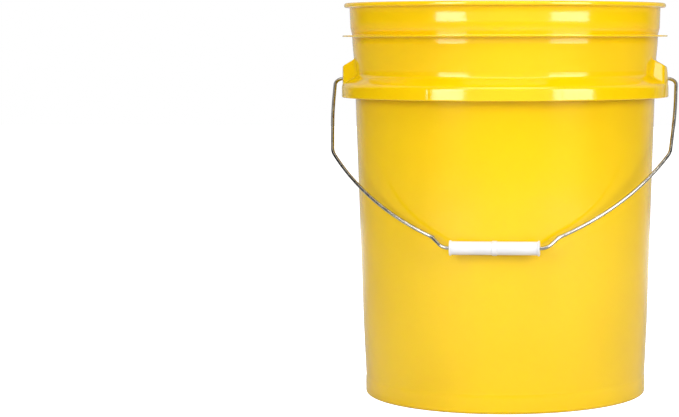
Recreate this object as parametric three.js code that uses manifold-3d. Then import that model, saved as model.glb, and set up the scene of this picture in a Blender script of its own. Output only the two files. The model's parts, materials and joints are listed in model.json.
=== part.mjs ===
// Five-gallon plastic pail with a wire bail and a roller grip.
// Millimetres, +Z up, origin at the centre of the underside, bail leaning against the front (-Y).
import * as THREE from 'three';
import { mergeVertices } from 'three/addons/utils/BufferGeometryUtils.js';
import Module from 'manifold-3d';

const wasm = await Module();
wasm.setup();

// ---- driving dimensions ---------------------------------------------------------------------

const HEIGHT = 368;               // underside to the top of the rim
const WALL = 2.3;                 // moulded wall
const FLOOR = 2.8;                // moulded floor
const SIDES = 64;                 // facets round the pail

// Outside of the wall as [radius, height], from the foot up; the taper eases above MID_WALL.
const FOOT_RADIUS = 132.8;        // outside of the foot band
const FOOT_INNER_RADIUS = 122.8;  // inside of the flat ring that the pail stands on
const PANEL_LIFT = 3;             // floor panel above the standing ring
const LOW_WALL = [132.5, 17.7];
const MID_WALL = [134.75, 67];
const HIGH_WALL = [141, 277];
const NECK = [141.2, 300.3];      // just above the skirt
const CHEST_WALL = [142.4, 316.5];
const FLANGE_WALL = [144, 337.3]; // where the stacking flange springs from
const UPPER_WALL = [145.3, 351];
const RIM_NECK = 146.1;           // just under the rim

const SKIRT_RADIUS = 153.9;
const SKIRT_BOTTOM = 280.2;
const SKIRT_SHOULDER = 292;           // where the sloped top meets the upright face
const SKIRT_CONE_TOP = [141.9, 300];  // where the sloped top meets the wall
const CHANNEL_TOP = 296;              // ceiling of the hollow skirt, at the wall
const CHANNEL_CORNER = 289.3;         // ceiling of the hollow skirt, at the upright face
const FLANGE_RADIUS = 152.9;
const FLANGE_THICK = 1.3;
const RIM_RADIUS = 151.2;
const RIM_THICK = 4.2;

const RIB_COUNT = 8;
const RIB_THICK = 2;
const RIB_FOOT = 282.7;           // ribs stop short of the open bottom of the skirt
const JOIN = 0.8;                 // how far a rib reaches into the walls that it joins

const PIVOT_LEVEL = 297.2;        // axis of the two holes in the ears
const PIVOT_HOLE_RADIUS = 2.5;
const PIVOT_HOLE_SIDES = 20;
const DRILL_LENGTH = 11.5;        // passes the ear's outer plate and stops short of the pail's wall
const EAR_CORNER = [149.8, 29];   // plan: where the outer face meets the slanted side
const EAR_ROOT = [136.4, 37];     // plan: where the slanted side meets the wall
const EAR_FACE_RADIUS = 110;      // plan: curvature of the outer face
const EAR_ROOF = [[142.4, 314.2], [151.7, 309.1]];  // side view: at the wall, at the outer edge
const EAR_FACE = [[152.8, 307.8], [154.8, 295.4]];  // side view: leans out from its top corner
const EAR_FOOT = 282.7;
const EAR_DEPTH = 16;             // how far an ear's solid reaches in from its outer face
const EAR_FACE_STEPS = 8;

const WIRE_RADIUS = 1.65;
const WIRE_SIDES = 10;
const BAIL_REACH = 205.7;         // hole axis to grip axis
const BAIL_LEAN = THREE.MathUtils.degToRad(44.6);
const HOOK_X = 146.6;             // hooked end, between the wall and the ear's outer plate
const HOOK_LENGTH = 8;

const GRIP_LENGTH = 80;
const GRIP_RADIUS = 6;
const GRIP_BORE_RADIUS = 2.6;
const COLLAR_RADIUS = 6.8;
const COLLAR_WIDTH = 1.8;
const RING_RADIUS = 6.5;
const RING_WIDTH = 3.9;
const RING_BEVEL = 0.4;
const GRIP_SIDES = 32;

// ---- materials ------------------------------------------------------------------------------

const yellowPlastic = new THREE.MeshStandardMaterial({ color: 0xf4c70c, roughness: 0.38, metalness: 0 });
const steelWire = new THREE.MeshStandardMaterial({ color: 0xa39c8f, roughness: 0.3, metalness: 1 });
const whitePlastic = new THREE.MeshStandardMaterial({ color: 0xf3f3f7, roughness: 0.42, metalness: 0 });

// ---- helpers --------------------------------------------------------------------------------

// Turns corners [x, y, radius, steps] into a polyline with each corner rounded by an arc.
function roundCorners(corners) {
  const points = [];
  corners.forEach(([x, y, radius, steps = 3], i) => {
    const corner = new THREE.Vector2(x, y);
    if (!radius) {
      points.push(corner);
      return;
    }
    const back = new THREE.Vector2(...corners[i - 1].slice(0, 2)).sub(corner).normalize();
    const ahead = new THREE.Vector2(...corners[i + 1].slice(0, 2)).sub(corner).normalize();
    const half = Math.acos(back.dot(ahead)) / 2;
    const centre = back.clone().add(ahead).normalize().multiplyScalar(radius / Math.sin(half)).add(corner);
    const from = back.clone().multiplyScalar(radius / Math.tan(half)).add(corner).sub(centre);
    const turn = (Math.PI - 2 * half) * Math.sign(back.cross(ahead));
    for (let k = 0; k <= steps; k += 1) {
      points.push(from.clone().rotateAround(new THREE.Vector2(), -turn * k / steps).add(centre));
    }
  });
  return points;
}

// Turns a closed geometry into a solid for joining and cutting.
function solid(geometry) {
  const bare = geometry.clone();
  bare.deleteAttribute('normal');
  bare.deleteAttribute('uv');
  const merged = mergeVertices(bare, 1e-4);
  const corners = merged.index.array;
  const kept = [];
  for (let i = 0; i < corners.length; i += 3) {
    const [a, b, c] = corners.slice(i, i + 3);
    if (a !== b && b !== c && c !== a) kept.push(a, b, c);
  }
  return new wasm.Manifold(new wasm.Mesh({
    numProp: 3,
    vertProperties: new Float32Array(merged.attributes.position.array),
    triVerts: new Uint32Array(kept),
  }));
}

// Turns a solid back into a geometry.
function geometryOf(manifold) {
  const { vertProperties, triVerts, numProp } = manifold.getMesh();
  const geometry = new THREE.BufferGeometry();
  geometry.setAttribute('position', new THREE.BufferAttribute(new Float32Array(vertProperties), numProp));
  geometry.setIndex(new THREE.BufferAttribute(new Uint32Array(triVerts), 1));
  geometry.computeVertexNormals();
  return geometry;
}

// Spins an outline of (radius, height) points round the Z axis.
function spin(outline, sides = SIDES) {
  return new THREE.LatheGeometry(outline, sides).rotateX(Math.PI / 2);
}

// Pushes an outline of (x, z) points along Y, half to each side of the XZ plane.
function slab(outline, width) {
  const shape = new THREE.Shape(outline);
  const geometry = new THREE.ExtrudeGeometry(shape, { depth: width, bevelEnabled: false });
  return geometry.translate(0, 0, -width / 2).rotateX(Math.PI / 2);
}

function named(name, geometry, material) {
  const mesh = new THREE.Mesh(geometry, material);
  mesh.name = name;
  return mesh;
}

// ---- pail body ------------------------------------------------------------------------------

// Outside of the plain wall, from the foot band up to the rim.
const wallOutside = [
  LOW_WALL,
  MID_WALL,
  HIGH_WALL,
  NECK,
  CHEST_WALL,
  FLANGE_WALL,
  UPPER_WALL,
  [RIM_NECK, HEIGHT - RIM_THICK],
];

// Outside radius of the plain wall at a height.
function wallRadius(height) {
  const next = Math.max(1, wallOutside.findIndex(([, z]) => z >= height));
  const [r0, z0] = wallOutside[next - 1];
  const [r1, z1] = wallOutside[next];
  return r0 + (r1 - r0) * (height - z0) / (z1 - z0);
}

// The same point of the wall, on its inside.
function inside([radius, height]) {
  return [radius - WALL, height];
}

// Half section of the moulding, walked from the floor panel outside, over the rim, to the floor inside.
function bodyOutline() {
  const flangeUnder = FLANGE_WALL[1] - FLANGE_THICK / 2;
  const flangeOver = FLANGE_WALL[1] + FLANGE_THICK / 2;
  const channelRadius = SKIRT_RADIUS - WALL;
  const rimUnder = HEIGHT - RIM_THICK;
  const panelEdge = FOOT_INNER_RADIUS + FLOOR * (Math.SQRT2 - 1);
  return roundCorners([
    [0, PANEL_LIFT],
    [FOOT_INNER_RADIUS - PANEL_LIFT, PANEL_LIFT],
    [FOOT_INNER_RADIUS, 0],
    [FOOT_RADIUS, 0, 3, 3],
    LOW_WALL,
    MID_WALL,
    HIGH_WALL,
    [wallRadius(CHANNEL_TOP), CHANNEL_TOP],
    [channelRadius, CHANNEL_CORNER],
    [channelRadius, SKIRT_BOTTOM],
    [SKIRT_RADIUS, SKIRT_BOTTOM, 0.5, 1],
    [SKIRT_RADIUS, SKIRT_SHOULDER, 1, 2],
    [...SKIRT_CONE_TOP, 2.5, 3],
    CHEST_WALL,
    [wallRadius(flangeUnder), flangeUnder],
    [FLANGE_RADIUS, flangeUnder, 0.4, 1],
    [FLANGE_RADIUS, flangeOver, 0.4, 1],
    [wallRadius(flangeOver), flangeOver],
    UPPER_WALL,
    [RIM_NECK, rimUnder],
    [RIM_RADIUS, rimUnder, 1.6, 3],
    [RIM_RADIUS, HEIGHT, 2.2, 3],
    [RIM_NECK - WALL, HEIGHT, 1, 2],
    inside(FLANGE_WALL),
    inside(CHEST_WALL),
    inside(NECK),
    inside(HIGH_WALL),
    inside(MID_WALL),
    inside(LOW_WALL),
    [LOW_WALL[0] - WALL, FLOOR, 5, 3],
    [panelEdge, FLOOR],
    [panelEdge - PANEL_LIFT, FLOOR + PANEL_LIFT],
    [0, FLOOR + PANEL_LIFT],
  ]);
}

// Everything inside the wall: inset from the wall's outside, filled to the axis.
function core(inset) {
  const low = LOW_WALL[1];
  const high = FLANGE_WALL[1];
  const levels = wallOutside.map(([, z]) => z).filter((z) => z >= low && z <= high);
  const side = levels.map((z) => new THREE.Vector2(wallRadius(z) - inset, z));
  return solid(spin([new THREE.Vector2(0, low), ...side, new THREE.Vector2(0, high)]));
}

// Plan of one ear as a prism, shrunk by an inset, from one height to another.
function earPlan(inset, bottom, top) {
  const [cornerX, cornerY] = EAR_CORNER;
  const [rootX, rootY] = EAR_ROOT;
  const side = Math.atan2(rootY - cornerY, cornerX - rootX);
  const faceRadius = EAR_FACE_RADIUS - inset;
  const faceCentre = SKIRT_RADIUS - EAR_FACE_RADIUS;
  const half = cornerY - inset * (1 - Math.sin(side)) / Math.cos(side);
  const reach = Math.asin(half / faceRadius);
  const front = faceCentre + faceRadius * Math.cos(reach);
  const back = front - EAR_DEPTH;
  const flare = EAR_DEPTH * Math.tan(side);
  const shape = new THREE.Shape();
  shape.moveTo(back, -half - flare);
  shape.lineTo(front, -half);
  shape.absarc(faceCentre, 0, faceRadius, -reach, reach, false);
  shape.lineTo(back, half + flare);
  const depth = top - bottom;
  const options = { depth, bevelEnabled: false, curveSegments: EAR_FACE_STEPS };
  return solid(new THREE.ExtrudeGeometry(shape, options).translate(0, 0, bottom));
}

// Side view of one ear: sloped roof, small corner, and a face that leans out to the skirt.
function earSide(inset, bottom) {
  const [roofWall, roofEdge] = EAR_ROOF;
  const [faceTop, faceFoot] = EAR_FACE;
  const slope = (roofWall[1] - roofEdge[1]) / (roofEdge[0] - roofWall[0]);
  const back = roofEdge[0] - EAR_DEPTH - WALL;
  const width = 3 * EAR_ROOT[1];
  return solid(slab([
    new THREE.Vector2(back, bottom),
    new THREE.Vector2(faceFoot[0], bottom),
    new THREE.Vector2(faceFoot[0] - inset, faceFoot[1]),
    new THREE.Vector2(faceTop[0] - inset, faceTop[1] - inset),
    new THREE.Vector2(roofEdge[0] - inset, roofEdge[1] - inset),
    new THREE.Vector2(back, roofEdge[1] + slope * (roofEdge[0] - back) - inset * Math.hypot(1, slope)),
  ], width));
}

// One ear on the +X side, before it is hollowed.
function ear() {
  const aboveRoof = EAR_ROOF[0][1] + EAR_DEPTH;
  return earPlan(0, EAR_FOOT, aboveRoof).intersect(earSide(0, EAR_FOOT - WALL)).subtract(core(WALL / 2));
}

// The hollow of one ear, open at the bottom.
function earPocket() {
  const low = SKIRT_BOTTOM - WALL;
  const aboveRoof = EAR_ROOF[0][1] + EAR_DEPTH;
  return earPlan(WALL, low, aboveRoof).intersect(earSide(WALL, low)).subtract(core(0));
}

// The hole that a hooked end of the wire turns in.
function earHole() {
  const drill = new THREE.CylinderGeometry(
    PIVOT_HOLE_RADIUS,
    PIVOT_HOLE_RADIUS,
    DRILL_LENGTH,
    PIVOT_HOLE_SIDES,
  );
  return solid(drill.rotateZ(Math.PI / 2).translate(SKIRT_RADIUS, 0, PIVOT_LEVEL));
}

// Upright rib between the wall and the skirt, hidden in the channel.
function rib() {
  const outer = SKIRT_RADIUS - WALL + JOIN;
  return solid(slab([
    new THREE.Vector2(wallRadius(RIB_FOOT) - JOIN, RIB_FOOT),
    new THREE.Vector2(outer, RIB_FOOT),
    new THREE.Vector2(outer, CHANNEL_CORNER + JOIN),
    new THREE.Vector2(wallRadius(CHANNEL_TOP) - JOIN, CHANNEL_TOP + JOIN),
  ], RIB_THICK));
}

function pailBody() {
  let body = solid(spin(bodyOutline()));
  for (const turn of [0, 180]) {
    body = body.add(ear().rotate([0, 0, turn]));
  }
  for (const turn of [0, 180]) {
    body = body.subtract(earPocket().rotate([0, 0, turn]));
    body = body.subtract(earHole().rotate([0, 0, turn]));
  }
  for (let k = 0; k < RIB_COUNT; k += 1) {
    body = body.add(rib().rotate([0, 0, (k + 0.5) * 360 / RIB_COUNT]));
  }
  return geometryOf(body);
}

// ---- bail wire ------------------------------------------------------------------------------

// A bent wire: a curve that steps from point to point of a rounded route.
class BentWire extends THREE.Curve {
  constructor(points) {
    super();
    this.points = points;
  }

  getPoint(t, target = new THREE.Vector3()) {
    const last = this.points.length - 1;
    const place = THREE.MathUtils.clamp(t, 0, 1) * last;
    const index = Math.min(Math.floor(place), last - 1);
    return target.lerpVectors(this.points[index], this.points[index + 1], place - index);
  }

  getUtoTmapping(u) {
    return u;
  }
}

// Half of the route as [across, down, bend radius, steps], from the hooked end to the grip.
const bailHalf = [
  [HOOK_X, -HOOK_LENGTH],
  [HOOK_X, 0, 3, 4],
  [161.2, 0, 7.5, 6],
  [159.9, 42, 500, 3],
  [155, 92.7, 22, 4],
  [116.3, 159.2, 260, 6],
  [56.5, 193, 14, 3],
  [46, BAIL_REACH, 12, 4],
];

function bailWire() {
  const otherHalf = bailHalf.map(([across, ...rest]) => [-across, ...rest]).reverse();
  const route = roundCorners([...bailHalf, ...otherHalf]);
  const path = new BentWire(route.map(({ x, y }) => new THREE.Vector3(x, 0, -y)));
  const section = new THREE.Shape();
  section.absarc(0, 0, WIRE_RADIUS, 0, 2 * Math.PI);
  return new THREE.ExtrudeGeometry(section, {
    extrudePath: path,
    steps: route.length - 1,
    curveSegments: WIRE_SIDES,
  });
}

// ---- grip -----------------------------------------------------------------------------------

// Rolling sleeve along X: a tube with a collar at each end and a ring round its middle.
function gripSleeve() {
  const end = GRIP_LENGTH / 2;
  const ring = RING_WIDTH / 2;
  const collar = end - COLLAR_WIDTH;
  const outline = [
    [GRIP_BORE_RADIUS, -end],
    [COLLAR_RADIUS, -end, 0.4, 1],
    [COLLAR_RADIUS, -collar],
    [GRIP_RADIUS, -collar],
    [GRIP_RADIUS, -ring - RING_BEVEL],
    [RING_RADIUS, -ring],
    [RING_RADIUS, ring],
    [GRIP_RADIUS, ring + RING_BEVEL],
    [GRIP_RADIUS, collar],
    [COLLAR_RADIUS, collar],
    [COLLAR_RADIUS, end, 0.4, 1],
    [GRIP_BORE_RADIUS, end],
    [GRIP_BORE_RADIUS, -end],
  ];
  return spin(roundCorners(outline), GRIP_SIDES).rotateY(Math.PI / 2);
}

// ---- assembly -------------------------------------------------------------------------------

const wire = named('bail_wire', bailWire(), steelWire);
const grip = named('grip_sleeve', gripSleeve(), whitePlastic);
grip.position.z = -BAIL_REACH;

const bail = new THREE.Group();
bail.position.z = PIVOT_LEVEL;
bail.rotation.x = -BAIL_LEAN;
bail.add(wire, grip);

const group = new THREE.Group();
group.add(named('bucket_body', pailBody(), yellowPlastic), bail);

export default group;
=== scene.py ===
"""Five-gallon yellow plastic pail with a wire bail and a roller grip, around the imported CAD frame.

The pail is one moulding: foot ring, wall, hollow skirt with inner ribs, two hollow ears, stacking flange
and rim. Its surface is one closed grid. A column is a cut through the pail's wall at one angle, and a row
follows one line of the moulding all the way round. Sections are worked out in millimetres and made in
metres.
"""

import json
import math

import bpy
import numpy as np
from mathutils import Matrix, Vector


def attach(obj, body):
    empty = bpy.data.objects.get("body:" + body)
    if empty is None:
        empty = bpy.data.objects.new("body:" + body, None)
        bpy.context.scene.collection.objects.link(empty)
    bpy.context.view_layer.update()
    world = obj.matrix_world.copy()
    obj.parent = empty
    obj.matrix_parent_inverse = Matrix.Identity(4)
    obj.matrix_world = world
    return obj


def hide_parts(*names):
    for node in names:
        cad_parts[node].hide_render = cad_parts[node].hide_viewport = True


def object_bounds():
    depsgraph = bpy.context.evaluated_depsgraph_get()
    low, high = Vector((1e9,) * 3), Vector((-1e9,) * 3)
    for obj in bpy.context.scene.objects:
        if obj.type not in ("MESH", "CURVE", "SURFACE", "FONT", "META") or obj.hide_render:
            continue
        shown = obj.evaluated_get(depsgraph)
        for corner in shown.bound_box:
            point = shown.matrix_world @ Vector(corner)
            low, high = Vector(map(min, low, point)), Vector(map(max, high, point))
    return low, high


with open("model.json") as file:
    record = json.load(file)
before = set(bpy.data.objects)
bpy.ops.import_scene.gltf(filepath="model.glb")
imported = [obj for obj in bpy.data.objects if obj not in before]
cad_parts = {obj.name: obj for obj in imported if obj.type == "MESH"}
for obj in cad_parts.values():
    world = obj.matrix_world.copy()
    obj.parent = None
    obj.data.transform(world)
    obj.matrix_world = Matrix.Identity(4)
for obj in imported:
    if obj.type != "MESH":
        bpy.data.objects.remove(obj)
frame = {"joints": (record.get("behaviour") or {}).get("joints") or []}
cad_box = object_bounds()

MM = 0.001
UP = Vector((0, 0, 1))

# ---- driving dimensions: the CAD part's own, in millimetres --------------------------------------

HEIGHT = cad_box[1].z / MM
WALL = 2.3
FLOOR = 2.8

FOOT_RADIUS = 132.8
FOOT_INNER_RADIUS = 122.8
PANEL_LIFT = 3.0
GATE_RADIUS = 5.0        # mark left by the mould's gate, in the middle of the underside
GATE_DEPTH = 1.6
UNDER_RING_RADIUS = 62.0     # low ring moulded into the underside's panel
UNDER_RING_HIGH = 0.9
STEP_ROUND = 1.5         # at the corners of the floor's step and of the underside's ring
FLOOR_CORNER = 5.0       # between the floor and the wall, inside
WALL_LINE = (            # outside of the wall as (radius, height)
    (132.5, 17.7),
    (134.75, 67.0),
    (141.0, 277.0),
    (141.3, 299.0),
    (141.4, 305.5),
    (142.4, 316.5),
    (143.7, 330.5),
)
LAND = (143.8, 335.0)    # near-upright land just under the flange
UPPER_LINE = ((144.0, 339.0), (144.75, 341.8), (145.45, 345.0))
RIM_NECK = 146.1

SKIRT_RADIUS = 153.9
SKIRT_DRAFT = 0.15       # how far the skirt's face leans in over its height
SKIRT_BOTTOM = 280.2
SKIRT_SHOULDER = 292.0
SKIRT_CONE_TOP = (141.9, 300.0)
SKIRT_FOOT_INSIDE = 0.5  # rounds at the skirt's lower edge
SKIRT_FOOT_OUTSIDE = 0.7
SHOULDER_ROUND = 3.5     # between the skirt's face and its sloped top
WALL_FILLET = 3.0        # between the sloped top and the wall
CHANNEL_CORNER = 289.3   # the hollow under the skirt: top of its outer side, then top of its ceiling
CHANNEL_TOP = 296.0
CHANNEL_ROUND = 1.0
FLANGE_RADIUS = 152.9
FLANGE_LEVEL = 337.3
FLANGE_THICK = 1.3
FLANGE_EDGE_ROUND = 0.4
NECK_ROUND = 0.7         # in the corners under and over the flange and under the rim
RIM_RADIUS = 151.2
RIM_THICK = 4.2
RIM_ROUNDS = (1.5, 2.1, 0.9)     # lower outside, upper outside, inside
EAR_ZONE_TOP = 323.0     # up to here the outside is worked out with the ears

RIB_COUNT = 8
RIB_THICK = 2.0
RIB_FOOT = 282.7
RIB_JOIN = 0.8           # how far a rib reaches into the walls that it joins
SINK_DEPTH = 0.09        # shallow line that shrinkage draws over each rib, on the skirt's face
SINK_HALF_WIDTH = 1.1

EAR_SPAN = 20.0          # degrees to each side of an ear's middle over which it is worked out
EAR_CORNER = (149.8, 29.0)       # outer and inner end of an ear's slanted side, seen from above
EAR_ROOT = (136.4, 37.0)
EAR_FACE_RADIUS = 110.0          # of the face's curve, seen from above
EAR_ROOF = ((142.4, 314.2), (151.7, 309.1))      # (radius, height) at the two ends of the sloped top
EAR_FACE = ((152.8, 307.8), (154.8, 295.4))      # and of the leaning face
EAR_EDGE_ROUND = 1.2
EAR_SET_BACK = 0.35              # makes up for what the fillet adds to the ear's face
POCKET_SET_BACK = 0.25           # and to the outer side of the ear's hollow
EAR_FILLETS = (1.2, 3.0)         # between an ear and the pail, at the skirt and at the wall
EAR_FILLET_LEVELS = (298.0, 303.0)
PIVOT_HOLE_RADIUS = 2.5
HOLE_FLARE = 0.45

WIRE_RADIUS = 1.65
WIRE_SHAVE = 0.03        # keeps the smooth wire inside the CAD wire's flats
HOOK_X = 146.6
HOOK_LENGTH = 8.0

GRIP_LENGTH = 80.0
GRIP_RADIUS = 6.0
GRIP_BORE_RADIUS = 2.6
COLLAR_RADIUS = 6.8
COLLAR_WIDTH = 1.8
RING_RADIUS = 6.5
RING_WIDTH = 3.9
PARTING_TURN = 60.0      # where the mould's two parting lines run, in degrees round the sleeve
PARTING_HEIGHT = 0.07
PARTING_SPREAD = 0.9     # degrees

# The bail's hinge and reach come from the frame's joints.
JOINT_AT = {joint["name"]: Vector(joint["pos_m"]) for joint in frame["joints"]}
PIVOT = JOINT_AT["bail_swing"]
GRIP_CENTRE = JOINT_AT["grip_roll"]
BAIL_DOWN = (GRIP_CENTRE - PIVOT).normalized()
BAIL_REACH = (GRIP_CENTRE - PIVOT).length / MM

# ---- camera and light placing --------------------------------------------------------------------

CAMERA_DISTANCE = 1.9561     # lens to the pail's axis, along the floor
EYE_HEIGHT = 0.334
CAMERA_TURN = 3.73           # degrees round the pail, towards its +X ear
LOOK_DOWN = 4.673
CAMERA_ROLL = -0.043
LENS_MM = 109.56
SENSOR_MM = 36.0
FRAME_SHIFT = -0.244         # puts the pail right of the frame's middle, by this share of its width

# Lengths are in metres. A radiance of 1 is a white surface in full light.
LIGHT_DISTANCE = 1.67
SOFTBOX_FOOT = 0.23
SOFTBOX_HEIGHT = 1.1
LEFT_SOFTBOX = (-48.8, -27.2)    # degrees from the camera's direction, seen from the pail
RIGHT_SOFTBOX = (32.0, 60.5)
LEFT_RADIANCE = 8.35
RIGHT_RADIANCE = 7.65
FILL_RADIANCE = 0.62
FILL_LEVEL = 0.75
OVERHEAD_RADIANCE = 2.75
OVERHEAD_SIZE = (1.3, 0.9)
OVERHEAD_LEVEL = 1.55
OVERHEAD_FORWARD = 0.75      # from the pail's axis towards the camera
REAR_SOFTBOX = (158.0, 202.0)
REAR_RADIANCE = 4.5
BACKDROP_RADIANCE = (0.58, 0.46)     # to the left and to the right of the pail
BACKDROP_RISE = 0.9          # how much further the backdrop reaches overhead than sideways
BACKDROP_EDGE = (0.62, 0.85)     # where the backdrop fades in, as the y part of a level direction
FLOOR_GLOW = 0.33            # brightness of the floor below the backdrop
GLOW_STARTS = (0.5, 1.0)     # distances from the pail's axis over which that glow fades in
UNDER_GLOW = 0.5             # brightness of the patch of floor hidden under the pail, for views from below
UNDER_EDGE = (0.127, 0.131)
FLOOR_GREY = 0.61
FLOOR_SEEN = 1.2             # the camera sees the floor at least this bright, as plain white
FLOOR_REACH = 6.0
FLOOR_GAP = 0.0003
AMBIENT_RADIANCE = 0.03


# ---- small helpers -------------------------------------------------------------------------------

def smooth_max(a, b, k):
    """The larger of a and b, with the corner between them filled by a round of about size k."""
    h = np.maximum(k - np.abs(a - b), 0) / k
    return np.maximum(a, b) + h * h * k / 4


def smooth_min(a, b, k):
    """The smaller of a and b, with the corner between them rounded off."""
    return -smooth_max(-a, -b, k)


def round_corners(corners):
    """Turns corners (x, y[, radius, steps]) into a list of points, with an arc at each corner that has
    a radius."""
    points = []
    for i, (x, y, *bend) in enumerate(corners):
        corner = Vector((x, y))
        if not bend:
            points.append(corner)
            continue
        radius, steps = bend
        back = (Vector(corners[i - 1][:2]) - corner).normalized()
        ahead = (Vector(corners[i + 1][:2]) - corner).normalized()
        half = back.angle(ahead) / 2
        centre = corner + (back + ahead).normalized() * radius / math.sin(half)
        start = corner + back * radius / math.tan(half) - centre
        turn = (math.pi - 2 * half) * (1 if back.cross(ahead) < 0 else -1)
        for k in range(steps + 1):
            points.append(centre + Matrix.Rotation(turn * k / steps, 2) @ start)
    return points


def refine(points, step):
    """Adds points so that no stretch of the line is longer than step."""
    out = [points[0]]
    for a, b in zip(points, points[1:]):
        parts = max(1, math.ceil((b - a).length / step))
        out += [a.lerp(b, k / parts) for k in range(1, parts + 1)]
    return out


def grid_object(name, points, material, closed_rows=False, fan_ends=False):
    """A mesh over an array of points [column, row, xyz] that goes round in columns. closed_rows joins the
    last row to the first; fan_ends closes the first and last row with one vertex each."""
    columns, rows = points.shape[:2]
    vertices = points.reshape(-1, 3)
    column = np.arange(columns)[:, None]
    following = (column + 1) % columns
    row = np.arange(rows if closed_rows else rows - 1)[None, :]
    above = (row + 1) % rows
    here, beside = column * rows, following * rows
    quads = np.stack([here + row, beside + row, beside + above, here + above], axis=-1)
    faces = quads.reshape(-1, 4).tolist()
    if fan_ends:
        ends = [points[:, 0].mean(axis=0), points[:, -1].mean(axis=0)]
        vertices = np.vstack([vertices, ends])
        first, last = columns * rows, columns * rows + 1
        for c in range(columns):
            d = (c + 1) % columns
            faces.append([first, d * rows, c * rows])
            faces.append([last, c * rows + rows - 1, d * rows + rows - 1])
    mesh = bpy.data.meshes.new(name)
    mesh.from_pydata(vertices.tolist(), [], faces)
    mesh.materials.append(material)
    mesh.polygons.foreach_set("use_smooth", np.ones(len(mesh.polygons), bool))
    mesh.update()
    piece = bpy.data.objects.new(name, mesh)
    bpy.context.scene.collection.objects.link(piece)
    return piece


def boolean(piece, cutter, operation):
    """Cuts cutter from piece, or joins it on, and removes the cutter."""
    modifier = piece.modifiers.new("boolean", "BOOLEAN")
    modifier.operation = operation
    modifier.object = cutter
    modifier.solver = "MANIFOLD"
    with bpy.context.temp_override(object=piece, active_object=piece):
        bpy.ops.object.modifier_apply(modifier=modifier.name)
    bpy.data.objects.remove(cutter)


# ---- material helpers ----------------------------------------------------------------------------

class Nodes:
    """Builds a material's node tree with short calls."""

    def __init__(self, name):
        self.material = bpy.data.materials.new(name)
        self.material.use_nodes = True
        self.tree = self.material.node_tree
        self.shader = self.tree.nodes["Principled BSDF"]

    def add(self, kind, **inputs):
        node = self.tree.nodes.new(kind)
        for key, value in inputs.items():
            self.put(node.inputs[key.replace("_", " ")], value)
        return node

    def put(self, socket, value):
        if isinstance(value, bpy.types.NodeSocket):
            self.tree.links.new(value, socket)
        else:
            socket.default_value = value

    def noise(self, scale, detail=3.0, roughness=0.5, stretch=None, seed=0.0):
        """Noise from 0 to 1 in the piece's own coordinates, with features of about 1/scale metres."""
        where = self.tree.nodes.new("ShaderNodeTexCoord").outputs["Object"]
        mapping = self.add("ShaderNodeMapping", Vector=where)
        mapping.inputs["Location"].default_value = (seed, seed * 0.7, seed * 1.3)
        if stretch is not None:
            mapping.inputs["Scale"].default_value = stretch
        pattern = self.add("ShaderNodeTexNoise", Vector=mapping.outputs["Vector"], Scale=scale)
        pattern.inputs["Detail"].default_value = detail
        pattern.inputs["Roughness"].default_value = roughness
        return pattern.outputs["Fac"]

    def span(self, value, low, high, to_low, to_high):
        """Maps value from low..high to to_low..to_high, clamped."""
        node = self.add("ShaderNodeMapRange", Value=value)
        numbers = {"From Min": low, "From Max": high, "To Min": to_low, "To Max": to_high}
        for key, number in numbers.items():
            node.inputs[key].default_value = number
        return node.outputs["Result"]

    def maths(self, operation, a, b=0.0):
        node = self.tree.nodes.new("ShaderNodeMath")
        node.operation = operation
        self.put(node.inputs[0], a)
        self.put(node.inputs[1], b)
        return node.outputs["Value"]

    def mix(self, factor, a, b):
        node = self.tree.nodes.new("ShaderNodeMix")
        node.data_type = "RGBA"
        colours = [socket for socket in node.inputs if socket.type == "RGBA"]
        self.put(node.inputs["Factor"], factor)
        self.put(colours[0], a)
        self.put(colours[1], b)
        return next(socket for socket in node.outputs if socket.type == "RGBA")

    def bump(self, height, distance, strength=1.0, normal=None):
        node = self.add("ShaderNodeBump", Height=height)
        node.inputs["Distance"].default_value = distance
        node.inputs["Strength"].default_value = strength
        if normal is not None:
            self.put(node.inputs["Normal"], normal)
        return node.outputs["Normal"]

    def set(self, **values):
        for key, value in values.items():
            self.put(self.shader.inputs[key.replace("_", " ")], value)
        return self.material


# ---- materials -----------------------------------------------------------------------------------

def yellow_plastic():
    """Glossy moulded polyethylene: even pigment, faint flow clouds, a fine mould texture, light scuffs."""
    n = Nodes("yellow_plastic")
    clouds = n.noise(9.0, detail=2.0, seed=3.0)
    flow = n.noise(14.0, detail=3.0, stretch=(1.0, 1.0, 0.12), seed=7.0)
    tone = n.maths("ADD", n.maths("MULTIPLY", clouds, 0.6), n.maths("MULTIPLY", flow, 0.4))
    pigment = n.mix(n.span(tone, 0.35, 0.65, 0.0, 1.0), (0.79, 0.498, 0.001, 1), (0.84, 0.545, 0.002, 1))
    scuffs = n.noise(55.0, detail=6.0, roughness=0.7, stretch=(1.0, 1.0, 0.25), seed=11.0)
    worn = n.span(scuffs, 0.60, 0.72, 0.0, 1.0)
    rough = n.maths("ADD", n.span(clouds, 0.3, 0.7, 0.11, 0.14), n.maths("MULTIPLY", worn, 0.06))
    waviness = n.bump(n.noise(22.0, detail=1.0, seed=5.0), 0.00025, 0.5)
    peel = n.bump(n.noise(700.0, detail=2.0, seed=9.0), 0.00003, 0.6, waviness)
    return n.set(
        Base_Color=pigment,
        Roughness=rough,
        Normal=peel,
        IOR=1.52,
        Subsurface_Weight=0.12,
        Subsurface_Radius=(0.9, 0.45, 0.02),
        Subsurface_Scale=0.004,
    )


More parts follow.
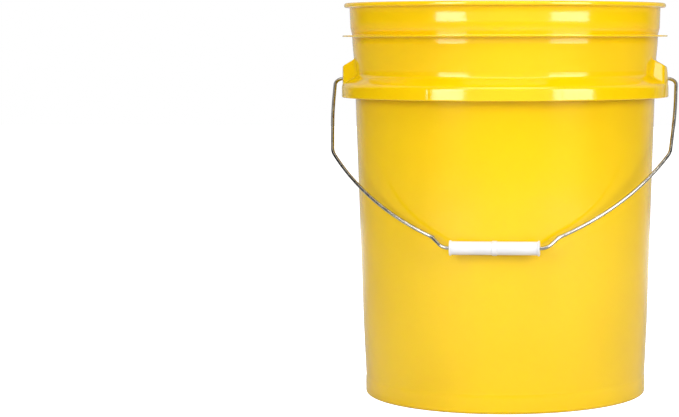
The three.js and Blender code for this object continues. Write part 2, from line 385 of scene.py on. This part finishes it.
def steel_wire():
    """Drawn and galvanised wire: bright, with streaks along its length and dull patches."""
    n = Nodes("steel_wire")
    where = n.tree.nodes.new("ShaderNodeUVMap").outputs["UV"]
    mapping = n.add("ShaderNodeMapping", Vector=where)
    mapping.inputs["Scale"].default_value = (60.0, 3.0, 1.0)
    streaks = n.add(
        "ShaderNodeTexNoise", Vector=mapping.outputs["Vector"], Scale=6.0, Detail=4.0, Roughness=0.6
    ).outputs["Fac"]
    patches = n.noise(160.0, detail=3.0, seed=2.0)
    colour = n.mix(n.span(patches, 0.35, 0.65, 0.0, 1.0), (0.35, 0.33, 0.29, 1), (0.48, 0.46, 0.41, 1))
    rough = n.span(n.maths("ADD", streaks, patches), 0.7, 1.3, 0.16, 0.30)
    return n.set(
        Base_Color=colour,
        Metallic=1.0,
        Roughness=rough,
        Normal=n.bump(streaks, 0.00002, 0.7),
    )


def white_plastic():
    """Satin white polyethylene with a fine moulded grain."""
    n = Nodes("white_plastic")
    clouds = n.noise(60.0, detail=2.0, seed=4.0)
    colour = n.mix(n.span(clouds, 0.35, 0.65, 0.0, 1.0), (0.69, 0.69, 0.72, 1), (0.74, 0.74, 0.76, 1))
    rough = n.span(n.noise(90.0, detail=4.0, seed=6.0), 0.3, 0.7, 0.32, 0.44)
    return n.set(
        Base_Color=colour,
        Roughness=rough,
        Normal=n.bump(n.noise(1500.0, detail=2.0, seed=8.0), 0.00003, 0.5),
        IOR=1.5,
        Subsurface_Weight=0.15,
        Subsurface_Radius=(1.0, 1.0, 1.0),
        Subsurface_Scale=0.002,
    )


# ---- pail: shape of the wall, skirt and ears -----------------------------------------------------

def wall_radius(height):
    """Outside of the plain wall at a height, below the flange."""
    radii, heights = zip(*WALL_LINE)
    return np.interp(height, heights, radii)


def plain_outside(height):
    """Outside of the moulding at a height, from the skirt's lower edge to the flange, without the ears."""
    drop = (SKIRT_RADIUS - SKIRT_CONE_TOP[0]) / (SKIRT_CONE_TOP[1] - SKIRT_SHOULDER)
    cone = SKIRT_RADIUS - SKIRT_DRAFT - (height - SKIRT_SHOULDER) * drop
    face = SKIRT_RADIUS - SKIRT_DRAFT * (height - SKIRT_BOTTOM) / (SKIRT_SHOULDER - SKIRT_BOTTOM)
    return smooth_max(smooth_min(face, cone, SHOULDER_ROUND), wall_radius(height), WALL_FILLET)


def ear_outside(angle, height, inset=0.0):
    """Distance from the pail's axis to an ear's surface, moved inwards by inset.
    angle is measured from the ear's middle."""
    cosine, sine = np.cos(angle), np.abs(np.sin(angle))
    arc_centre = SKIRT_RADIUS - EAR_FACE_RADIUS
    arc = EAR_FACE_RADIUS - inset
    face = arc_centre * cosine + np.sqrt(arc**2 - (arc_centre * sine) ** 2)
    run = Vector(EAR_ROOT) - Vector(EAR_CORNER)
    across = Vector((run.y, -run.x)).normalized()
    side = (across.dot(Vector(EAR_CORNER)) - inset) / (across.x * cosine + across.y * sine)
    (roof_in, roof_high), (roof_out, roof_low) = EAR_ROOF
    slope = (roof_high - roof_low) / (roof_out - roof_in)
    roof = (roof_in + (roof_high - inset * math.hypot(1, slope) - height) / slope) / cosine
    (top_x, top_z), (foot_x, foot_z) = EAR_FACE
    lean = (top_x + (foot_x - top_x) * (top_z - height) / (top_z - foot_z) - inset) / cosine
    surface = face
    for other in (lean, side, roof):
        surface = smooth_min(surface, other, EAR_EDGE_ROUND)
    return surface


def from_ear(angle):
    """Angle from the middle of the nearest ear."""
    return (angle + math.pi / 2) % math.pi - math.pi / 2


def near_ear(angle):
    return np.abs(from_ear(angle)) < math.radians(EAR_SPAN)


def rib_angles():
    return [(k + 0.5) * 2 * math.pi / RIB_COUNT for k in range(RIB_COUNT)]


def sink_marks(angle, height):
    """Depth of the sink marks over the ribs, which fade out round the skirt's shoulder."""
    reach = np.zeros_like(angle)
    for rib in rib_angles():
        away = (angle - rib + math.pi) % (2 * math.pi) - math.pi
        reach += np.exp(-((away * SKIRT_RADIUS / SINK_HALF_WIDTH) ** 2))
    return SINK_DEPTH * reach * np.clip((SKIRT_SHOULDER + 1 - height) / 2, 0, 1)


def outside(angle, height):
    """Outside of the moulding from the skirt's lower edge up to the flange, ears included."""
    plain = plain_outside(height) - sink_marks(angle, height)
    ear = ear_outside(from_ear(angle), height) - EAR_SET_BACK
    fillet = np.interp(height, EAR_FILLET_LEVELS, EAR_FILLETS)
    return np.where(near_ear(angle), smooth_max(plain, ear, fillet), plain)


def channel_outside(angle, height):
    """The hollow under the skirt and in the ears: its outer side and ceiling as a radius at a height."""
    fall = (SKIRT_RADIUS - WALL - wall_radius(CHANNEL_TOP)) / (CHANNEL_TOP - CHANNEL_CORNER)
    ceiling = SKIRT_RADIUS - WALL - (height - CHANNEL_CORNER) * fall
    plain = smooth_min(np.full_like(height, SKIRT_RADIUS - WALL), ceiling, CHANNEL_ROUND)
    pocket = ear_outside(from_ear(angle), height, WALL)
    joined_up = smooth_max(plain, pocket, CHANNEL_ROUND) - POCKET_SET_BACK
    return np.where(near_ear(angle), joined_up, plain)


def channel_ceiling(angle):
    """Height at which the hollow closes against the wall, by halving."""
    halvings, narrowest = 24, 0.3
    low = np.full_like(angle, SKIRT_BOTTOM)
    high = np.full_like(angle, EAR_ROOF[0][1])
    for _ in range(halvings):
        middle = (low + high) / 2
        is_open = channel_outside(angle, middle) - wall_radius(middle) > narrowest
        low, high = np.where(is_open, middle, low), np.where(is_open, high, middle)
    return low


# ---- pail: the closed section --------------------------------------------------------------------

def lower_section():
    """From the middle of the underside out to the foot and up the wall to the skirt's lower edge."""
    gate_top, ring_foot = PANEL_LIFT + GATE_DEPTH, PANEL_LIFT - UNDER_RING_HIGH
    corners = [
        (GATE_RADIUS - 1, gate_top),
        (GATE_RADIUS, gate_top, 0.3, 2),
        (GATE_RADIUS + 0.6, PANEL_LIFT + 0.2, 0.3, 2),
        (GATE_RADIUS + 7, PANEL_LIFT),
        (UNDER_RING_RADIUS - 3, PANEL_LIFT, STEP_ROUND, 3),
        (UNDER_RING_RADIUS - 2, ring_foot, 0.5, 3),
        (UNDER_RING_RADIUS + 2, ring_foot, 0.5, 3),
        (UNDER_RING_RADIUS + 3, PANEL_LIFT, STEP_ROUND, 3),
        (FOOT_INNER_RADIUS - PANEL_LIFT - 2.0, PANEL_LIFT, STEP_ROUND, 4),
        (FOOT_INNER_RADIUS, 0, 1.2, 4),
        (FOOT_RADIUS, 0, 3.0, 8),
        (FOOT_RADIUS + 0.1, 9.0),
        (FOOT_RADIUS, 14.6, 1.0, 3),
        (WALL_LINE[0][0], WALL_LINE[0][1], 1.0, 3),
        (WALL_LINE[1][0], WALL_LINE[1][1]),
        (wall_radius(SKIRT_BOTTOM), SKIRT_BOTTOM),
    ]
    return refine(round_corners(corners), step=8.0)


def upper_section():
    """From the wall under the flange over the rim and down inside to the middle of the floor."""
    flange_under = FLANGE_LEVEL - FLANGE_THICK / 2
    flange_over = FLANGE_LEVEL + FLANGE_THICK / 2
    rim_under = HEIGHT - RIM_THICK
    floor_radius = WALL_LINE[0][0] - WALL
    step = FOOT_INNER_RADIUS + FLOOR * (math.sqrt(2) - 1)
    corners = [
        (WALL_LINE[-1][0], WALL_LINE[-1][1], 3.0, 3),
        (LAND[0], LAND[1]),
        (LAND[0] + 0.1, flange_under, NECK_ROUND, 4),
        (FLANGE_RADIUS, flange_under, FLANGE_EDGE_ROUND, 3),
        (FLANGE_RADIUS, flange_over, FLANGE_EDGE_ROUND, 3),
        (UPPER_LINE[0][0] - 0.1, flange_over, NECK_ROUND, 4),
        *UPPER_LINE,
        (RIM_NECK, rim_under, NECK_ROUND, 4),
        (RIM_RADIUS, rim_under, RIM_ROUNDS[0], 6),
        (RIM_RADIUS, HEIGHT, RIM_ROUNDS[1], 8),
        (RIM_NECK - WALL, HEIGHT, RIM_ROUNDS[2], 5),
        (UPPER_LINE[-1][0] - WALL, UPPER_LINE[-1][1]),
        (LAND[0] - WALL, FLANGE_LEVEL),
        *[(radius - WALL, height) for radius, height in reversed(WALL_LINE[:-1])],
        (floor_radius, FLOOR, FLOOR_CORNER, 8),
        (step, FLOOR, 1.0, 3),
        (step - PANEL_LIFT, FLOOR + PANEL_LIFT, STEP_ROUND, 4),
        (30.0, FLOOR + PANEL_LIFT),
        (4.0, FLOOR + PANEL_LIFT + 0.15),
    ]
    start = Vector((float(wall_radius(EAR_ZONE_TOP)), EAR_ZONE_TOP))
    return refine([start, *round_corners([(start.x, start.y), *corners])[1:]], step=8.0)


def skirt_edge():
    """The rounded lower edge of the skirt, from its inside to its outside."""
    inner, outer = SKIRT_RADIUS - WALL, SKIRT_RADIUS
    corners = [
        (inner, SKIRT_BOTTOM + 2),
        (inner, SKIRT_BOTTOM, SKIRT_FOOT_INSIDE, 3),
        (outer, SKIRT_BOTTOM, SKIRT_FOOT_OUTSIDE, 4),
        (outer, SKIRT_BOTTOM + 2),
    ]
    return round_corners(corners)[1:-1]


def column_angles():
    """Angles of the columns: close together over the ears and ribs, wider apart elsewhere."""
    ear_span, ear_step = 19.0, 0.25      # degrees
    rib_span, rib_step = 1.2, 0.2
    wide_step, widening = 1.5, 0.5
    between_ribs = 360 / RIB_COUNT
    stops = {0.0}
    degree = 0.0
    while degree < 360:
        to_ear = abs((degree + 90) % 180 - 90)
        to_rib = abs(degree % between_ribs - between_ribs / 2)
        if to_ear < ear_span:
            step = ear_step
        elif to_rib < rib_span:
            step = rib_step
        else:
            past_rib = max(rib_step, (to_rib - rib_span) * widening)
            past_ear = max(ear_step, (to_ear - ear_span) * widening)
            step = min(wide_step, past_rib, past_ear)
        stops.add(round(degree, 4))
        degree += step
    return np.radians(np.array(sorted(stops)))


def pail_points():
    """All points of the pail's surface, as an array [column, row, xyz] in metres."""
    angles = column_angles()
    one = np.ones((len(angles), 1))
    wide = angles[:, None]
    wall_rows, channel_rows, crowding = 26, 34, 1.15
    lip = 0.6                            # where the skirt's inside starts, above its lower edge

    def fixed(section):
        points = np.array([tuple(p) for p in section])
        return one * points[None, :, 0], one * points[None, :, 1]

    parts = [fixed(lower_section())]

    # up the wall behind the skirt, then down the hollow's ceiling and outer side
    ceiling = channel_ceiling(angles)[:, None]
    share = np.linspace(0, 1, wall_rows)[None, 1:]
    height = SKIRT_BOTTOM + (ceiling - SKIRT_BOTTOM) * share
    parts.append((wall_radius(height), height))
    share = np.linspace(1, 0, channel_rows)[None, 1:-1] ** crowding
    height = SKIRT_BOTTOM + lip + (ceiling - SKIRT_BOTTOM - lip) * share
    hollow = channel_outside(wide * np.ones_like(height), height)
    parts.append((np.maximum(hollow, wall_radius(height)), height))
    parts.append(fixed(skirt_edge()))

    # up the skirt's face, over its sloped top and the ears, and on up the wall
    face_step, fine_step, wall_step = 1.4, 0.45, 2.0
    fine_from, fine_to = SKIRT_SHOULDER - 3, EAR_ROOF[0][1] + 2.5
    levels = np.concatenate([
        np.arange(SKIRT_BOTTOM + 1.2, fine_from, face_step),
        np.arange(fine_from, fine_to, fine_step),
        np.arange(fine_to, EAR_ZONE_TOP - 0.5, wall_step),
    ])[None, :]
    height = one * levels
    parts.append((outside(wide * np.ones_like(height), height), height))
    parts.append(fixed(upper_section()))

    radius = np.concatenate([r for r, _ in parts], axis=1)
    height = np.concatenate([z for _, z in parts], axis=1)
    return np.stack([radius * np.cos(wide), radius * np.sin(wide), height], axis=-1) * MM


def joined(pieces):
    """Joins pieces into the first of them."""
    with bpy.context.temp_override(active_object=pieces[0], selected_editable_objects=pieces):
        bpy.ops.object.join()
    return pieces[0]


def pivot_drill(side):
    """A drill along X with a flared end, for the hole that a hooked end of the wire turns in."""
    inner, face, tip = HOOK_X + 1.5, EAR_FACE[1][0], 0.05
    flared = PIVOT_HOLE_RADIUS + HOLE_FLARE
    profile = [
        (inner, tip),
        (inner, PIVOT_HOLE_RADIUS),
        (face - 0.8, PIVOT_HOLE_RADIUS),
        (face - 0.2, flared),
        (face + 3, flared),
        (face + 3, tip),
    ]
    sides = 40
    turns = np.linspace(0, 2 * math.pi, sides, endpoint=False)[:, None]
    along, radius = (np.array(values)[None, :] for values in zip(*profile))
    points = np.stack(
        [side * along * np.ones_like(turns), radius * np.cos(turns), radius * np.sin(turns) * side], axis=-1
    )
    points = points * MM + np.array([0, 0, PIVOT.z])
    return grid_object("drill", points, MATERIALS["yellow_plastic"], fan_ends=True)


def skirt_rib(angle):
    """Upright rib between the wall and the skirt."""
    outer = SKIRT_RADIUS - WALL + RIB_JOIN
    outline = [
        (wall_radius(RIB_FOOT) - RIB_JOIN, RIB_FOOT),
        (outer, RIB_FOOT),
        (outer, CHANNEL_CORNER + RIB_JOIN),
        (wall_radius(CHANNEL_TOP) - RIB_JOIN, CHANNEL_TOP + RIB_JOIN),
    ]
    corners = [(r, y, z) for y in (-RIB_THICK / 2, RIB_THICK / 2) for r, z in outline]
    faces = [(0, 1, 2, 3), (7, 6, 5, 4), *[(i, i + 4, (i + 1) % 4 + 4, (i + 1) % 4) for i in range(4)]]
    mesh = bpy.data.meshes.new("rib")
    mesh.from_pydata([Vector(c) * MM for c in corners], [], faces)
    mesh.materials.append(MATERIALS["yellow_plastic"])
    mesh.transform(Matrix.Rotation(angle, 4, "Z"))
    mesh.update()
    rib = bpy.data.objects.new("rib", mesh)
    bpy.context.scene.collection.objects.link(rib)
    return rib


def make_pail():
    pail = grid_object("pail", pail_points(), MATERIALS["yellow_plastic"], fan_ends=True)
    boolean(pail, joined([pivot_drill(side) for side in (1, -1)]), "DIFFERENCE")
    boolean(pail, joined([skirt_rib(angle) for angle in rib_angles()]), "UNION")
    pail.data.set_sharp_from_angle(angle=math.radians(38))
    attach(pail, "bucket")
    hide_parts("bucket_body")


# ---- bail wire and grip --------------------------------------------------------------------------

def bail_route():
    """The wire's centreline as points (across, down) in the bail's own plane, from hook to hook.
    Its corners are (across, down[, radius of the bend, steps])."""
    half = [
        (HOOK_X, -HOOK_LENGTH),
        (HOOK_X, 0, 3, 8),
        (161.2, 0, 7.5, 12),
        (159.9, 42, 500, 12),
        (155, 92.7, 22, 10),
        (116.3, 159.2, 260, 30),
        (56.5, 193, 14, 10),
        (46, BAIL_REACH, 12, 14),
    ]
    other = [(-across, *rest) for across, *rest in reversed(half)]
    return refine(round_corners(half + other), step=3.0)


def make_wire():
    route = bail_route()
    across, down = Vector((1, 0, 0)), BAIL_DOWN
    out = across.cross(down)
    sides, radius = 28, (WIRE_RADIUS - WIRE_SHAVE) * MM
    blunt_share, blunt_length = 0.72, 0.35 * MM      # the cut ends' worn edge
    rings, lengths, travelled = [], [], 0.0
    for i, point in enumerate(route):
        ahead = route[min(i + 1, len(route) - 1)] - route[max(i - 1, 0)]
        ahead.normalize()
        side = across * -ahead.y + down * ahead.x
        centre = PIVOT + (across * point.x + down * point.y) * MM
        if i:
            travelled += (point - route[i - 1]).length * MM
        turns = [2 * math.pi * k / sides for k in range(sides)]
        rings.append([centre + (side * math.cos(t) + out * math.sin(t)) * radius for t in turns])
        lengths.append(travelled)
    rings = np.array(rings)
    blunt = []
    for end, inward in ((0, 1), (-1, -2)):
        centre, axis = rings[end].mean(axis=0), rings[end].mean(axis=0) - rings[inward].mean(axis=0)
        axis /= np.linalg.norm(axis)
        blunt.append(centre + (rings[end] - centre) * blunt_share + axis * blunt_length)
    rings = np.concatenate([blunt[0][None], rings, blunt[1][None]])
    points = rings.transpose(1, 0, 2)
    wire = grid_object("wire_bail", points, MATERIALS["steel_wire"], fan_ends=True)
    rows = points.shape[1]
    along = [lengths[0], *lengths, lengths[-1]]
    layer = wire.data.uv_layers.new(name="wire")
    for loop in wire.data.loops:
        vertex = loop.vertex_index
        row = vertex % rows if vertex < sides * rows else 0
        layer.data[loop.index].uv = (vertex // rows / sides, along[row])
    wire.data.set_sharp_from_angle(angle=math.radians(50))
    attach(wire, "bail")
    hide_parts("bail_wire")


def grip_section():
    """Closed outline of the sleeve's wall as (along, radius)."""
    end, ring, bore = GRIP_LENGTH / 2, RING_WIDTH / 2, GRIP_BORE_RADIUS
    collar = end - COLLAR_WIDTH
    half = [
        (collar, GRIP_RADIUS, 0.35, 3),
        (collar, COLLAR_RADIUS, 0.35, 4),
        (end, COLLAR_RADIUS, 0.5, 5),
        (end, bore + 0.5, 0.2, 2),
        (end - 0.7, bore, 0.3, 2),
    ]
    middle = [
        (-ring - 0.5, GRIP_RADIUS, 0.3, 2),
        (-ring, RING_RADIUS, 0.3, 2),
        (ring, RING_RADIUS, 0.3, 2),
        (ring + 0.5, GRIP_RADIUS, 0.3, 2),
    ]
    other = [(-along, *rest) for along, *rest in reversed(half)]
    corners = [*other, *middle, *half]
    closed = [(-end / 2, bore), *corners, (end / 2, bore)]
    return refine(round_corners(closed), step=3.0)


def make_grip():
    section = np.array([tuple(p) for p in grip_section()])
    plain_turns, close_turns = np.linspace(0, 360, 72, endpoint=False), np.linspace(-3, 3, 13)
    partings = (PARTING_TURN, PARTING_TURN + 180)
    turns = np.concatenate([plain_turns, *[middle + close_turns for middle in partings]])
    turns = np.radians(np.unique(np.round(turns, 3)))[:, None]
    away = (turns - math.radians(PARTING_TURN) + math.pi / 2) % math.pi - math.pi / 2
    ridge = PARTING_HEIGHT * np.exp(-((away / math.radians(PARTING_SPREAD)) ** 2))
    radius = section[None, :, 1] + ridge * (section[None, :, 1] > GRIP_BORE_RADIUS + 1)
    radius = np.minimum(radius, COLLAR_RADIUS)
    along = section[None, :, 0] * np.ones_like(turns)
    points = np.stack([along, radius * np.cos(turns), radius * np.sin(turns)], axis=-1) * MM
    points = points + np.array(GRIP_CENTRE)
    grip = grid_object("roller_grip", points, MATERIALS["white_plastic"], closed_rows=True)
    grip.data.set_sharp_from_angle(angle=math.radians(45))
    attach(grip, "grip")
    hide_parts("grip_sleeve")


# ---- camera, light and stage ---------------------------------------------------------------------

def towards(degrees):
    """Level unit direction from the pail, at an angle from the camera's side (-Y), towards +X."""
    angle = math.radians(degrees)
    return Vector((math.sin(angle), -math.cos(angle), 0))


def make_camera():
    data = bpy.data.cameras.new("camera")
    data.lens = LENS_MM
    data.sensor_width = SENSOR_MM
    data.shift_x = FRAME_SHIFT
    data.clip_start = 0.05
    data.clip_end = 50
    camera = bpy.data.objects.new("camera", data)
    place = towards(CAMERA_TURN) * CAMERA_DISTANCE + UP * EYE_HEIGHT
    turns = ((CAMERA_TURN, "Z"), (90 - LOOK_DOWN, "X"), (CAMERA_ROLL, "Z"))
    camera.matrix_world = Matrix.Translation(place)
    for degrees, axis in turns:
        camera.matrix_world @= Matrix.Rotation(math.radians(degrees), 4, axis)
    bpy.context.scene.collection.objects.link(camera)
    bpy.context.scene.camera = camera


def softbox(name, middle, target, size, radiance):
    """An area light of a size (width, height) at middle, facing target."""
    data = bpy.data.lights.new(name, "AREA")
    data.shape = "RECTANGLE"
    data.size, data.size_y = size
    data.energy = radiance * math.pi * size[0] * size[1]
    lamp = bpy.data.objects.new(name, data)
    facing = (middle - target).to_track_quat("Z", "Y").to_matrix().to_4x4()
    lamp.matrix_world = Matrix.Translation(middle) @ facing
    bpy.context.scene.collection.objects.link(lamp)
    return lamp


def make_lights():
    uprights = (
        ("left_softbox", LEFT_SOFTBOX, LEFT_RADIANCE),
        ("right_softbox", RIGHT_SOFTBOX, RIGHT_RADIANCE),
        ("rear_softbox", REAR_SOFTBOX, REAR_RADIANCE),
    )
    for name, (start, stop), radiance in uprights:
        middle = towards(CAMERA_TURN + (start + stop) / 2) * LIGHT_DISTANCE
        width = 2 * LIGHT_DISTANCE * math.tan(math.radians((stop - start) / 2))
        level = UP * (SOFTBOX_FOOT + SOFTBOX_HEIGHT / 2)
        lamp = softbox(name, middle + level, level, (width, SOFTBOX_HEIGHT), radiance)
        lamp.visible_camera = False
        lamp.visible_glossy = name != "rear_softbox"
    between = LEFT_SOFTBOX[1] + RIGHT_SOFTBOX[0]
    middle = towards(CAMERA_TURN + between / 2) * LIGHT_DISTANCE + UP * FILL_LEVEL
    width = 2 * LIGHT_DISTANCE * math.tan(math.radians((RIGHT_SOFTBOX[0] - LEFT_SOFTBOX[1]) / 2))
    softbox("fill", middle, UP * FILL_LEVEL, (width, SOFTBOX_HEIGHT), FILL_RADIANCE)
    overhead = UP * OVERHEAD_LEVEL + towards(CAMERA_TURN) * OVERHEAD_FORWARD
    softbox("overhead", overhead, UP * HEIGHT * MM, OVERHEAD_SIZE, OVERHEAD_RADIANCE)


def ramp(tree, value, edges, ends):
    """Maps value between two edges to a number from one end to the other; an end may be a socket."""
    node = tree.nodes.new("ShaderNodeMapRange")
    tree.links.new(value, node.inputs["Value"])
    for key, number in zip(("From Min", "From Max", "To Min", "To Max"), (*edges, *ends)):
        if isinstance(number, bpy.types.NodeSocket):
            tree.links.new(number, node.inputs[key])
        else:
            node.inputs[key].default_value = number
    return node.outputs["Result"]


def make_world():
    """A bright studio backdrop behind the pail and a dim room in front; the camera sees plain white."""
    world = bpy.data.worlds.new("studio")
    world.use_nodes = True
    bpy.context.scene.world = world
    tree = world.node_tree
    where = tree.nodes.new("ShaderNodeTexCoord").outputs["Generated"]
    split = tree.nodes.new("ShaderNodeSeparateXYZ")
    tree.links.new(where, split.inputs[0])
    reach = tree.nodes.new("ShaderNodeVectorMath")
    reach.operation = "DOT_PRODUCT"
    reach.inputs[1].default_value = (0, 1, BACKDROP_RISE)
    tree.links.new(where, reach.inputs[0])
    side = ramp(tree, split.outputs["X"], (-0.5, 0.5), BACKDROP_RADIANCE)
    behind = ramp(tree, reach.outputs["Value"], BACKDROP_EDGE, (AMBIENT_RADIANCE, side))
    seen = tree.nodes.new("ShaderNodeLightPath").outputs["Is Camera Ray"]
    brightness = tree.nodes.new("ShaderNodeMath")
    brightness.operation = "MAXIMUM"
    tree.links.new(behind, brightness.inputs[0])
    tree.links.new(seen, brightness.inputs[1])
    tree.links.new(brightness.outputs["Value"], tree.nodes["Background"].inputs["Strength"])
    tree.nodes["Background"].inputs["Color"].default_value = (1, 1, 1, 1)


def make_floor():
    """Plain pale floor: matt, a little bright of its own behind and under the pail, and clear from below
    so that the underside can be seen."""
    material = bpy.data.materials.new("studio_floor")
    material.use_nodes = True
    tree = material.node_tree
    shader = tree.nodes["Principled BSDF"]
    shader.inputs["Base Color"].default_value = (FLOOR_GREY, FLOOR_GREY, FLOOR_GREY, 1)
    shader.inputs["Roughness"].default_value = 0.9
    shader.inputs["Specular IOR Level"].default_value = 0.1
    glow = tree.nodes.new("ShaderNodeEmission")
    seen = tree.nodes.new("ShaderNodeLightPath").outputs["Is Camera Ray"]
    strength = tree.nodes.new("ShaderNodeMath")
    strength.operation = "MULTIPLY"
    strength.inputs[1].default_value = FLOOR_SEEN
    tree.links.new(seen, strength.inputs[0])
    where = tree.nodes.new("ShaderNodeTexCoord").outputs["Object"]
    outward, away = (tree.nodes.new("ShaderNodeVectorMath") for _ in range(2))
    outward.operation, away.operation = "NORMALIZE", "LENGTH"
    tree.links.new(where, outward.inputs[0])
    tree.links.new(where, away.inputs[0])
    split = tree.nodes.new("ShaderNodeSeparateXYZ")
    tree.links.new(outward.outputs["Vector"], split.inputs[0])
    far = ramp(tree, away.outputs["Value"], GLOW_STARTS, (0, FLOOR_GLOW))
    behind = ramp(tree, split.outputs["Y"], BACKDROP_EDGE, (0, far))
    under = ramp(tree, away.outputs["Value"], UNDER_EDGE, (UNDER_GLOW, 0))
    brightness = strength.outputs["Value"]
    for other in (behind, under):
        brighter = tree.nodes.new("ShaderNodeMath")
        brighter.operation = "MAXIMUM"
        tree.links.new(brightness, brighter.inputs[0])
        tree.links.new(other, brighter.inputs[1])
        brightness = brighter.outputs["Value"]
    tree.links.new(brightness, glow.inputs["Strength"])
    both = tree.nodes.new("ShaderNodeAddShader")
    tree.links.new(shader.outputs[0], both.inputs[0])
    tree.links.new(glow.outputs[0], both.inputs[1])
    clear = tree.nodes.new("ShaderNodeBsdfTransparent")
    side = tree.nodes.new("ShaderNodeMixShader")
    tree.links.new(tree.nodes.new("ShaderNodeNewGeometry").outputs["Backfacing"], side.inputs["Fac"])
    tree.links.new(both.outputs[0], side.inputs[1])
    tree.links.new(clear.outputs[0], side.inputs[2])
    tree.links.new(side.outputs[0], tree.nodes["Material Output"].inputs["Surface"])
    mesh = bpy.data.meshes.new("floor")
    signs = ((-1, -1), (1, -1), (1, 1), (-1, 1))
    corners = [(x * FLOOR_REACH, y * FLOOR_REACH, -FLOOR_GAP) for x, y in signs]
    mesh.from_pydata(corners, [], [(0, 1, 2, 3)])
    mesh.materials.append(material)
    floor = bpy.data.objects.new("floor", mesh)
    bpy.context.scene.collection.objects.link(floor)


# ---- scene ---------------------------------------------------------------------------------------

bpy.context.scene.view_settings.view_transform = "Standard"
MATERIALS = {
    "yellow_plastic": yellow_plastic(),
    "steel_wire": steel_wire(),
    "white_plastic": white_plastic(),
}
make_camera()
make_lights()
make_world()
make_floor()
make_pail()
make_wire()
make_grip()
